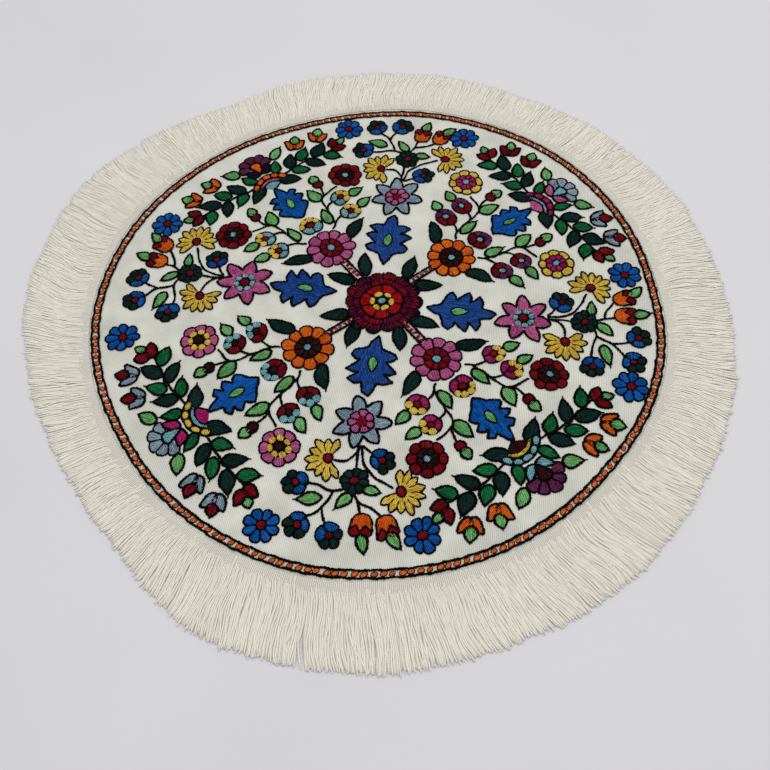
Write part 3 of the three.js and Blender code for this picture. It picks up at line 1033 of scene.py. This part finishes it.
# Crewel wool, dark end to light end: the wool's own mottle plus painted shade in hollows and painted light on
# tops.
woolShades = {
    "black": ("#020203", "#0c0c0e"),
    "dark_green": ("#061a17", "#1a3a35"),
    "leaf_green": ("#064725", "#22804b"),
    "light_green": ("#448a46", "#8ac880"),
    "royal_blue": ("#023c84", "#1c6cc2"),
    "mid_blue": ("#113376", "#3260ac"),
    "grey_blue": ("#647d8d", "#a3b6c2"),
    "pale_turquoise": ("#4f8d99", "#90c3ca"),
    "red": ("#56040d", "#931424"),
    "scarlet": ("#76060f", "#bd1822"),
    "crimson": ("#3c0615", "#72142e"),
    "maroon": ("#1f0808", "#43191a"),
    "purple": ("#401530", "#783460"),
    "navy": ("#0d0517", "#241231"),
    "magenta": ("#7a1045", "#bd2c76"),
    "pink": ("#953369", "#c96d9c"),
    "orange": ("#ba4606", "#ec7526"),
    "mustard": ("#bd9628", "#ecd060"),
    "cream": ("#cbbcb4", "#e6d9d2"),
}
# Record slots of the shades that have none of their own.
creamSlot = "cream_fringe_yarn"
otherSlots = {"scarlet": "red_wool", "crimson": "red_wool", "navy": "purple_wool", "cream": creamSlot}
wools = {
    colour: (yarnMaterial(f"crewel wool {colour.replace('_', ' ')}", shades, crewelYarn),
             otherSlots.get(colour, f"{colour}_wool"))
    for colour, shades in woolShades.items()
}
report("wool materials")


def makeCloth():
    # Polar sheet: share of the cut edge's radius by angle, on an upper and a lower face that meet at a
    # rounded edge, the upper on groundAt and the lower on the swells.
    sectors, rings = cloth["sectors"], cloth["rings"]
    degrees = 360 * np.arange(sectors) / sectors
    share = np.linspace(0, 1, rings + 1)[1:] ** cloth["crowding"]
    grid = share[:, None] * (borderAt(degrees) + cloth["hemMargin"]) * towards(degrees)
    upper = groundAt(grid)
    lower = swellAt(grid)
    upper[-1] -= cloth["edgeRounding"][0]
    lower[-1] += cloth["edgeRounding"][1]
    faces = [beside(grid.real, grid.imag, level).reshape(-1, 3) for level in (upper, lower)]
    middles = np.array([[0, 0, groundAt(np.zeros(1, complex))[0]], [0, 0, 0]])
    here = np.arange(sectors)
    ahead = (here + 1) % sectors
    ring = np.arange(rings - 1)[:, None] * sectors
    a, b = ring + here, ring + ahead
    c, d = a + sectors, b + sectors
    total = rings * sectors
    rim = total - sectors
    corners = np.concatenate([part.ravel() for part in (
        beside(a, c, d, b),
        beside(a, b, d, c) + total,
        beside(rim + here, rim + here + total, rim + ahead + total, rim + ahead),
        beside(2 * total, here, ahead),
        beside(2 * total + 1, ahead + total, here + total),
    )])
    sizes = np.concatenate([np.full(2 * (rings - 1) * sectors + sectors, 4), np.full(2 * sectors, 3)])
    finish = (wovenMaterial("cream wool twill", cloth["shades"], twillWeave), "cream_twill")
    return addPiece("twill_ground", finish, np.concatenate([*faces, middles]), corners, sizes)


clothPiece = makeCloth()
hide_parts("cloth")
report("cloth")

drawPattern()

# Border: two black lines with a band of cream satin stitch and orange links between them.
border = {
    "outerLine": -1.0,  # from the border circle
    "innerLine": -5.75,
    "lineHalf": 0.82,
    "lineLift": 0.1,
    "bandMiddle": -3.4,
    "bandHalf": 1.5,
    "satinPitch": 1.3,
    "satinHalf": (0.66, 0.3),  # half width and half height
    "satinSlant": 0.55,  # degrees round the cloth
    "linkPitch": 5.5,
    "linkLength": 1.55,  # half sizes of one link's middle line
    "linkWidth": 0.76,
    "linkHeight": 0.5,
    "linkTurn": -20,  # slant of the links, which leans the other way across the cloth
}


def ringPath(offset, count=720):
    # Line round the cloth at an offset from the border, with two small waves, a little past its start.
    degrees = np.linspace(0, 360, count, endpoint=False)
    radians = np.radians(degrees)
    wander = 0.22 * np.sin(83 * radians + 3 * offset) + 0.16 * np.sin(157 * radians + offset)
    ring = (lineAt(degrees) + offset + wander) * towards(degrees)
    return np.append(ring, ring[:5])


for offset in (border["outerLine"], border["innerLine"]):
    lines.append({"path": ringPath(offset), "half": border["lineHalf"], "lift": border["lineLift"]})


def makeBorderSatin():
    # Slanted cream stitches straight across the band.
    rng = np.random.default_rng(41)
    count = int(2 * math.pi * cloth["borderRadius"] / border["satinPitch"])
    degrees = 360 * (np.arange(count) + rng.uniform(-0.15, 0.15, count)) / count
    across = np.linspace(-1, 1, 3)[None] * border["bandHalf"]
    radius = lineAt(degrees)[:, None] + border["bandMiddle"] + across
    path = radius * towards(degrees[:, None] + border["satinSlant"] * across / border["bandHalf"])
    height = groundAt(path) + np.array([0.0, 0.12, 0.0])
    tone = rng.uniform(0.2, 0.9, (count, 1))
    addYarns("border_satin", wools["cream"], tone, path, height, *border["satinHalf"], tip=(0.4, 0.2))


def makeBorderLinks(name, colour, grow, yarn, lift):
    # Chain of slanted oval links: closed yarns round an ellipse.
    rng = np.random.default_rng(42)
    count = int(2 * math.pi * (cloth["borderRadius"] + border["bandMiddle"]) / border["linkPitch"])
    degrees = 360 * (np.arange(count) + rng.uniform(-0.12, 0.12, count)) / count
    spot = (lineAt(degrees) + border["bandMiddle"] + rng.uniform(-0.25, 0.25, count)) * towards(degrees)
    lie = degrees + 90 + border["linkTurn"] * np.sin(np.radians(degrees + 25)) + rng.uniform(-15, 15, count)
    size = rng.uniform(0.85, 1.15, (count, 1))
    turns = np.linspace(0, 360, 10, endpoint=False)
    circle = towards(turns)[None]
    oval = (border["linkLength"] + grow) * circle.real + 1j * (border["linkWidth"] + grow) * circle.imag
    path = spot[:, None] + size * oval * towards(lie)[:, None]
    height = groundAt(path) + lift + 0.12 * np.cos(np.radians(turns))
    tone = rng.uniform(0.1, 0.55, (count, 1))
    addYarns(name, wools[colour], tone, path, height, yarn, border["linkHeight"], sides=4)


makeBorderSatin()
# The orange links, and a thin dark yarn round each: how much larger, half width, lift.
makeBorderLinks("border_links", "orange", 0, 0.6, 0.45)
makeBorderLinks("border_rims", "maroon", 0.62, 0.42, 0.32)
report("border")

for number, colour in enumerate(woolShades):
    chosen = [cell for cell in cells if cell["colour"] == colour]
    if chosen:
        addStitches(f"stitches_{colour}", colour, chosen, 100 + number)
addLines("outlines_a", "black", lines[0::2], 201)
addLines("outlines_b", "black", lines[1::2], 202)
report("needlework")

fringe = {
    "free": 6.5,  # where the yarns leave the heading, from the border circle
    "rootStray": 0.22,  # unevenness of their height under the heading
    # The next value is painted shade: how much darker the yarns are where they leave the heading.
    "paintedRootShade": 0.4,  # how much darker they are where they leave it
    "drift": 0.4,  # how far single yarns stray sideways at their tips
    "strayShare": 0.07,
    "stray": 5.0,
    "trim": 0.9,
    "tip": (0.8, 0.0),
    "shades": ("#ebe5d6", "#fcf8ec"),
    "headingShades": ("#8b877c", "#efeadf"),
}

# Where the fringe has parted: angle, opening between the two tips, radius where it closes, spread.
partings = [
    (35, 9, 234, 12), (97.5, 4, 226, 8), (138.75, 4, 240, 6), (202.5, 3, 218, 8), (256.25, 8, 228, 10),
]

# Layers of yarn from the table up: name, yarns, half width, stations, root from the border circle, short of
# the tips by, lift at root and tip, crossing, seed.
layerColumns = (
    "name", "count", "half", "stations", "root", "short", "rootLift", "tipLift", "crossing", "seed",
)
fringeLayers = [
    ("fringe_lower", 900, 1.3, 7, 8, 1.5, 0.6, 0.55, 0, 61),
    ("fringe_middle", 1160, 0.8, 10, 8, 0.5, 1.05, 0.65, 0, 62),
    ("fringe_upper", 1280, 0.62, 14, 1.4, 0, 1.5, 1.05, 1, 63),
]
fringeFinish = (yarnMaterial("plied cotton fringe yarn", fringe["shades"], trimYarn), creamSlot)
headingFinish = (wovenMaterial("woven cotton heading", fringe["headingShades"], headingWeave), creamSlot)

# The heading's profile, counterclockwise seen along the fringe: offset from the border circle, height.
headingProfile = [
    (0.9, 1.2), (6, 1.25), (9.6, 1.2), (9.7, 1.4), (8.8, 1.53), (7.8, 1.66), (6.7, 1.79), (5.5, 1.9),
    (4.1, 1.97), (2.7, 1.98), (1.5, 1.91), (0.95, 1.5),
]


def combed(radians, reach):
    # Sideways set that neighbouring yarns share: long waves round the cloth that grow and turn over with
    # the distance from the heading.
    field = 1.7 * np.sin(17 * radians + 0.4) * np.sin(reach / 12 + 3 * np.sin(3 * radians))
    field = field + 0.55 * np.sin(39 * radians + reach / 9)
    field = field + 0.2 * np.sin(83 * radians + 2 * np.sin(11 * radians) + reach / 7)
    field = field + 0.1 * np.sin(151 * radians - reach / 5)
    return field * np.minimum(1.2, reach / 32)


def swept(radians, reach):
    # Swerve as the yarns leave the heading, 1 - e^(-reach / 5), most of it given back towards the tips.
    where = np.sin(4 * radians + 2.2) + 0.6 * np.sin(9 * radians + 0.5)
    return 2.6 * where * (1 - np.exp(-reach / 5)) * (1 - 0.6 * smoothStep(reach, 10, 36))


def crossed(radians, reach):
    # Bunches of upper yarns that lie across the others, only here and there.
    where = smoothStep(np.sin(13 * radians + 1) * np.sin(29 * radians + 0.7), 0.25, 0.8)
    return 1.2 * where * np.sin(67 * radians) * reach / 36


def swungAngle(degrees, radius, root):
    # Degrees that a line of the fringe has swung to: lean * (reach / full)^1.4, and the partings, each
    # opening towards the tips and pushing its neighbours by exp(-distance / spread).
    tip = outlineAt("tip", degrees)
    reach = np.maximum(0, radius - root)
    shift = outlineAt("lean", degrees) * (reach / (tip - root)) ** 1.4
    for angle, opening, closesAt, spread in partings:
        away = np.radians((degrees - angle + 180) % 360 - 180) * radius
        opened = np.maximum(0, radius - closesAt) / (tip - closesAt)
        shift = shift + np.sign(away) * 0.5 * opening * opened * np.exp(-np.abs(away) / spread)
    return degrees + np.degrees(shift / radius)


def makeFringeLayer(layer):
    # Yarns that run out along the swung lines, set sideways by combed, swept and crossed, each a little off
    # its neighbours, with a few strays across them, and thinner at their ends.
    rng = np.random.default_rng(layer["seed"])
    count = layer["count"]
    degrees = 360 * (np.arange(count) + rng.uniform(-0.24, 0.24, count)) / count
    tip = outlineAt("tip", degrees) + rng.normal(0, fringe["trim"], count) - layer["short"]
    tip = tip + 0.9 * np.sin(np.radians(degrees) * 23 + 1) * np.sin(np.radians(degrees) * 7)
    s = np.linspace(0, 1, layer["stations"])[None]
    degrees, tip = degrees[:, None], tip[:, None]
    root = borderAt(degrees) + layer["root"]
    free = borderAt(degrees) + fringe["free"]
    radius = root + (tip - root) * s
    reach = np.maximum(0, radius - free)
    radians = np.radians(degrees)
    phase = rng.uniform(0, 2 * np.pi, (count, 1))
    loose = np.minimum(1, reach / 8)
    side = combed(radians, reach) + swept(radians, reach) + layer["crossing"] * crossed(radians, reach)
    side = side + 0.3 * loose * np.sin(reach / rng.uniform(2.2, 3.6, (count, 1)) + phase)
    strays = rng.random((count, 1)) < fringe["strayShare"]
    drift = rng.normal(0, 1, (count, 1)) * np.where(strays, fringe["stray"], fringe["drift"])
    side = side + drift * (reach / 38) ** 1.3
    path = radius * towards(swungAngle(degrees, radius, free) + np.degrees(side / radius))
    lift = layer["rootLift"] + (layer["tipLift"] - layer["rootLift"]) * s
    lift = lift + fringe["rootStray"] * rng.uniform(-1, 1, (count, 1)) * (1 - s)
    ripple = 0.08 * loose * np.sin(reach / 3.1 + 2 * phase)
    half = layer["half"] * rng.uniform(0.92, 1.08, (count, 1)) * (1 - 0.3 * smoothStep(s, 0.92, 1))
    tall = np.minimum(half, 0.6) * 0.9
    height = np.maximum(lift + ripple + 0.3 * strays * np.sin(np.pi * s), tall)
    # Each yarn's tone strays at random, and near the heading it is darkened as painted shade.
    tone = rng.normal(0.5, 0.18, (count, 1)) - fringe["paintedRootShade"] * np.exp(-(reach / 9) ** 2)
    return addYarns(layer["name"], fringeFinish, tone, path, height, half, tall, tip=fringe["tip"], turn=-0.5)


def makeHeading():
    # Woven strip: a rounded profile of offsets and heights carried once round the cloth, thinning towards
    # the fringe so that the yarns come out from under it, each at its own place. The UV map is in metres,
    # along the edge of the cloth and round the profile.
    sectors = 720
    sector = np.arange(sectors)[:, None]
    radians = 2 * np.pi * sector / sectors
    degrees = np.degrees(radians)
    offset, height = np.array(headingProfile, float).T
    ripple = 0.06 * np.sin(61 * radians + 2 * np.sin(7 * radians)) + 0.05 * np.sin(143 * radians)
    wander = 0.5 * np.sin(37 * radians + 2 * np.sin(5 * radians)) * (offset > 7.5)
    place = (borderAt(degrees) + offset + wander) * towards(degrees)
    points = beside(place.real, place.imag, height + (height > 1.3) * ripple).reshape(-1, 3)
    ring = len(offset)
    here = sector * ring
    ahead = (here + ring) % (sectors * ring)
    near = np.arange(ring)
    far = (near + 1) % ring
    corners = beside(here + near, here + far, ahead + far, ahead + near).ravel()
    step = 2 * np.pi * (cloth["borderRadius"] + 5) / sectors * mm
    steps = np.hypot(np.diff(offset, append=offset[0]), np.diff(height, append=height[0]))
    run = np.concatenate([[0], np.cumsum(steps)]) * mm
    start, end = sector * step, (sector + 1) * step
    uv = beside(start, run[:-1], start, run[1:], end, run[1:], end, run[:-1])
    return addPiece("fringe_heading", headingFinish, points, corners, np.full(sectors * ring, 4), uv)


makeHeading()
layers = [makeFringeLayer(dict(zip(layerColumns, layer))) for layer in fringeLayers]
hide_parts("fringe")
report("fringe")

tableTop = {
    "half": 12,  # in metres
    "drop": 0.1,  # under the fringe
    "shades": ("#cbcace", "#d3d2d6"),
}


def makeFloor():
    # Painted table top: smooth, pale, with a faint clouding.
    mesh = bpy.data.meshes.new("table_top")
    half = tableTop["half"]
    corners = [(-half, -half, 0), (half, -half, 0), (half, half, 0), (-half, half, 0)]
    mesh.from_pydata(corners, [], [(0, 1, 2, 3)])
    floor = bpy.data.objects.new("table_top", mesh)
    floor.location.z = -tableTop["drop"] * mm
    scene.collection.objects.link(floor)
    material, tree = startMaterial("pale painted board")
    dark, light = (fromHex(shade) for shade in tableTop["shades"])
    place = addNode(tree, "ShaderNodeTexCoord", output="Object")
    cloud = addNode(tree, "ShaderNodeTexNoise", {"Vector": place, "Scale": 5.0, "Detail": 2.0})
    shade = addNode(tree, "ShaderNodeMix", {0: cloud, 6: dark, 7: light}, 2, data_type="RGBA")
    shader = addNode(tree, "ShaderNodeBsdfPrincipled", {
        "Base Color": shade, "Roughness": 0.7, "Specular IOR Level": 0.2})
    addNode(tree, "ShaderNodeOutputMaterial", {"Surface": shader})
    mesh.materials.append(material)
    floor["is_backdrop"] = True


# Lighting, in metres and watts.
lighting = {
    "worldColour": "#f2f4f8",
    "worldStrength": 0.63,
    "panelSize": 2.2,
    "panelPower": 27.5,
    "panelPlace": (0.2, 0.15, 1.9),
    "panelColour": "#fffcf6",
}


def makeLight():
    # An even pale sky, and one large soft panel overhead.
    world = bpy.data.worlds.new("soft studio")
    world.use_nodes = True
    tree = world.node_tree
    tree.nodes.clear()
    glow = addNode(tree, "ShaderNodeBackground", {
        "Color": fromHex(lighting["worldColour"]), "Strength": lighting["worldStrength"]})
    addNode(tree, "ShaderNodeOutputWorld", {"Surface": glow})
    scene.world = world
    data = bpy.data.lights.new("panel", "AREA")
    data.size = lighting["panelSize"]
    data.energy = lighting["panelPower"]
    data.color = fromHex(lighting["panelColour"])[:3]
    panel = bpy.data.objects.new("panel", data)
    panel.location = lighting["panelPlace"]
    panel.rotation_euler = (-panel.location).to_track_quat("-Z", "Y").to_euler()
    scene.collection.objects.link(panel)


makeFloor()
makeLight()
scene.view_settings.view_transform = "Standard"
report("table top and light")

meshes = [piece.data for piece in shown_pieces() if piece.type == "MESH"]
triangles = sum(len(mesh.loops) - 2 * len(mesh.polygons) for mesh in meshes)
report(f"{len(meshes)} pieces, {triangles} triangles")
